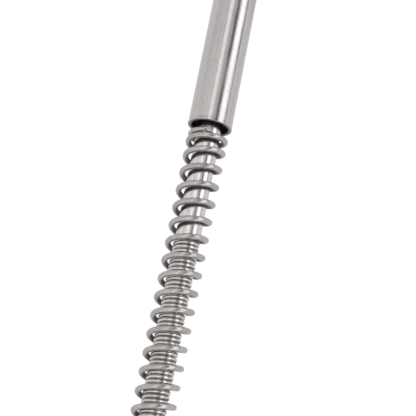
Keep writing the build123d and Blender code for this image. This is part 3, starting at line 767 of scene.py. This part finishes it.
spring_length = sum(turns * pitch for turns, pitch, *_ in spring_runs)
welds = weld_piece("weld_beads", [
    (SPRING_START, CUT_TURNS, shaft_radius, 3.6, 2.1, 2.3, 1),
    (SPRING_START + spring_length, 0.0, ferrule_radius, 2.4, 1.6, 1.8, 2),
    (bulb_start, 0.0, coupling_radius, 2.4, 1.6, 1.9, 3),
])
print("weld faces:", len(welds.data.polygons))

# %% [markdown]
# ## Floor, light and camera
# The tool lies on a pale table in a bright room that is a little darker towards the crank end. Polished
# metal shows the room more than itself, so the room needs edges to show: dark boards and bright strips
# hang parallel to the tool, and draw the bands along the tube. They are seen only in reflections. The
# table is dimmer in reflections than it looks, so that the lower sides of the round pieces stay dark.

# %% Floor and room light
def stage_emitter(name, colour, strength):
    material = bpy.data.materials.new(name)
    material.use_nodes = True
    tree = material.node_tree
    tree.nodes.clear()
    glow = node(tree, "ShaderNodeEmission", Color=(*colour, 1.0), Strength=strength)
    out = tree.nodes.new("ShaderNodeOutputMaterial")
    tree.links.new(glow.outputs[0], out.inputs["Surface"])
    return material


FLOOR_HALF = 4.0
FLOOR_SEEN, FLOOR_REFLECTED = 0.72, 0.42
ROOM_DIM, ROOM_FULL = 0.74, 0.95
DIM_BEFORE, FULL_AFTER = -0.46, -0.36

floor_mesh = bpy.data.meshes.new("floor")
floor_mesh.from_pydata([(-FLOOR_HALF, -FLOOR_HALF, 0), (FLOOR_HALF, -FLOOR_HALF, 0),
                        (FLOOR_HALF, FLOOR_HALF, 0), (-FLOOR_HALF, FLOOR_HALF, 0)], [], [(0, 1, 2, 3)])
floor = add_object("floor", floor_mesh)
pale = bpy.data.materials.new("pale_floor")
pale.use_nodes = True
tree = pale.node_tree
floor_shader = tree.nodes["Principled BSDF"]
floor_shader.inputs["Base Color"].default_value = (0.5, 0.5, 0.5, 1.0)
floor_shader.inputs["Roughness"].default_value = 0.9
floor_shader.inputs["Specular IOR Level"].default_value = 0.0
floor_shader.inputs["Emission Color"].default_value = (1.0, 1.0, 1.0, 1.0)
reflected = tree.nodes.new("ShaderNodeLightPath").outputs["Is Glossy Ray"]
floor_glow = between(tree, reflected, FLOOR_SEEN, FLOOR_REFLECTED)
tree.links.new(floor_glow, floor_shader.inputs["Emission Strength"])
floor_mesh.materials.append(pale)

world = bpy.data.worlds.new("bright_room")
bpy.context.scene.world = world
world.use_nodes = True
room = world.node_tree
glow = room.nodes["Background"]
glow.inputs["Color"].default_value = (1.0, 0.99, 0.985, 1.0)
looking = room.nodes.new("ShaderNodeTexCoord").outputs["Generated"]
towards_tip = node(room, "ShaderNodeSeparateXYZ", [("Vector", looking)]).outputs["X"]
level = node(room, "ShaderNodeMapRange", [("Value", towards_tip)],
             **{"From Min": DIM_BEFORE, "From Max": FULL_AFTER, "To Min": ROOM_DIM, "To Max": ROOM_FULL})
room.links.new(level.outputs[0], glow.inputs["Strength"])
bpy.context.scene.view_settings.view_transform = "Standard"
print("floor and room light ready")

# %% [markdown]
# Each board is a strip at one distance from the axis, between two angles counted from straight up towards
# +Y. Seen from above, a round bar doubles angles: the band at 20 degrees round it shows what hangs at 40.

# %% Boards and strips for the reflections
BOARD_DISTANCE = 0.6
BOARD_BACK, BOARD_FRONT = -1.6, 1.2


def board(name, low_deg, high_deg, colour, strength):
    corners = []
    for degrees, ends in ((low_deg, (BOARD_BACK, BOARD_FRONT)), (high_deg, (BOARD_FRONT, BOARD_BACK))):
        angle = math.radians(degrees)
        for x in ends:
            place = Vector((x, BOARD_DISTANCE * math.sin(angle), BOARD_DISTANCE * math.cos(angle)))
            corners.append(tuple(mouth + place))
    mesh = bpy.data.meshes.new(name)
    mesh.from_pydata(corners, [], [(0, 1, 2, 3)])
    hung = add_object(name, mesh)
    mesh.materials.append(stage_emitter(name, colour, strength))
    for ray in ("camera", "diffuse", "shadow", "transmission", "volume_scatter"):
        setattr(hung, "visible_" + ray, False)
    return hung


boards = [
    board("half_dark_board", 11, 21, (0.60, 0.57, 0.58), 1.0),
    board("dark_board", 21, 33, (0.15, 0.13, 0.14), 1.0),
    board("bright_strip", 41, 68, (1.0, 1.0, 1.0), 1.75),
    board("blue_edge", 74, 80, (0.34, 0.36, 0.41), 1.0),
    board("soft_line", -20, -4, (1.0, 0.94, 0.96), 1.34),
]
print("boards:", [b.name for b in boards])

# %% [markdown]
# The camera stands over the tube's mouth, leaning so that the auger runs down and a little to one side.
# Its place is set from the mouth: a tilt towards the tip, a roll, and how far the mouth lies from the
# middle of the view, in mm.

# %% Camera
TILT, ROLL = math.radians(18.01), math.radians(11.03)
MOUTH_RIGHT, MOUTH_UP, MOUTH_DEEP = 0.82, 41.6, 624.27
FOCAL_OVER_SIDE, SENSOR_MM = 2.8938, 36.0

tool_in_view = Vector((-math.sin(ROLL) * math.cos(TILT), math.cos(ROLL) * math.cos(TILT), -math.sin(TILT)))
across_in_view = Vector((math.cos(ROLL), math.sin(ROLL), 0.0))
up_in_view = tool_in_view.cross(across_in_view)
view_from_world = Matrix((tool_in_view, across_in_view, up_in_view)).transposed()
flip = Matrix(((1, 0, 0), (0, -1, 0), (0, 0, -1)))
camera_data = bpy.data.cameras.new("camera")
camera_data.sensor_width = SENSOR_MM
camera_data.lens = SENSOR_MM * FOCAL_OVER_SIDE
camera_data.clip_start = 0.01
camera = add_object("camera", camera_data)
mouth_in_view = MM * Vector((MOUTH_RIGHT, -MOUTH_UP, MOUTH_DEEP))
stand = mouth - view_from_world.transposed() @ mouth_in_view
camera.matrix_world = Matrix.Translation(stand) @ (flip @ view_from_world).transposed().to_4x4()
bpy.context.scene.camera = camera
print("camera at", [round(v, 3) for v in stand])
